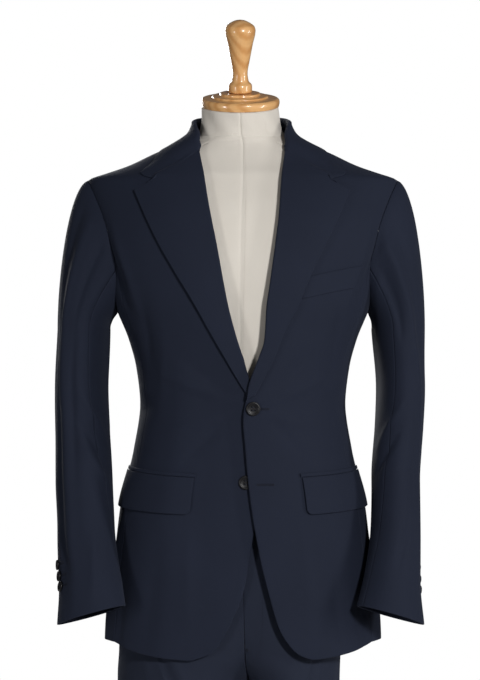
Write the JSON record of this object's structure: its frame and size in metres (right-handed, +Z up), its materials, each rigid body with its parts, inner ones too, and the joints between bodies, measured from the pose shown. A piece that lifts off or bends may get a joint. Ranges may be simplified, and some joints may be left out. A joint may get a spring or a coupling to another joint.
{
  "type": "suit on a dress form",
  "caption": "Two-piece single-breasted suit, notched lapels, flap pockets and open V, hollow and hanging on a limbless dress form with a turned wooden cap, on a round stand.",
  "frame": {"origin": "on the floor under the middle of the round base", "axes": "+Z up along the pole, -Y the front of the suit, +X the wearer's left"},
  "size_m": [0.5348, 0.38, 1.7275],
  "materials": {
    "jacket_cloth": "fine navy wool, dull with a soft sheen",
    "trouser_cloth": "fine navy wool, dull with a soft sheen",
    "horn_button": "dark polished horn",
    "form_linen": "off-white stretched linen",
    "varnished_wood": "light beech with clear varnish",
    "brushed_steel": "satin"
  },
  "bodies": {
    "root": {"front_left": "jacket_cloth", "front_right": "jacket_cloth", "side_left": "jacket_cloth", "side_right": "jacket_cloth", "back_left": "jacket_cloth", "back_right": "jacket_cloth", "lapel_left": "jacket_cloth", "lapel_right": "jacket_cloth", "collar": "jacket_cloth", "upper_sleeve_left": "jacket_cloth", "upper_sleeve_right": "jacket_cloth", "under_sleeve_left": "jacket_cloth", "under_sleeve_right": "jacket_cloth", "flap_left": "jacket_cloth", "flap_right": "jacket_cloth", "jet_left": "jacket_cloth", "jet_right": "jacket_cloth", "breast_welt": "jacket_cloth", "trouser_front_left": "trouser_cloth", "trouser_front_right": "trouser_cloth", "trouser_back_left": "trouser_cloth", "trouser_back_right": "trouser_cloth", "waistband": "trouser_cloth", "front_button_upper": "horn_button", "front_button_lower": "horn_button", "cuff_button_left_1": "horn_button", "cuff_button_left_2": "horn_button", "cuff_button_left_3": "horn_button", "cuff_button_right_1": "horn_button", "cuff_button_right_2": "horn_button", "cuff_button_right_3": "horn_button", "form_torso": "form_linen", "neck_cap": "varnished_wood", "knob": "varnished_wood", "pole": "brushed_steel", "base": "brushed_steel"}
  },
  "joints": []
}
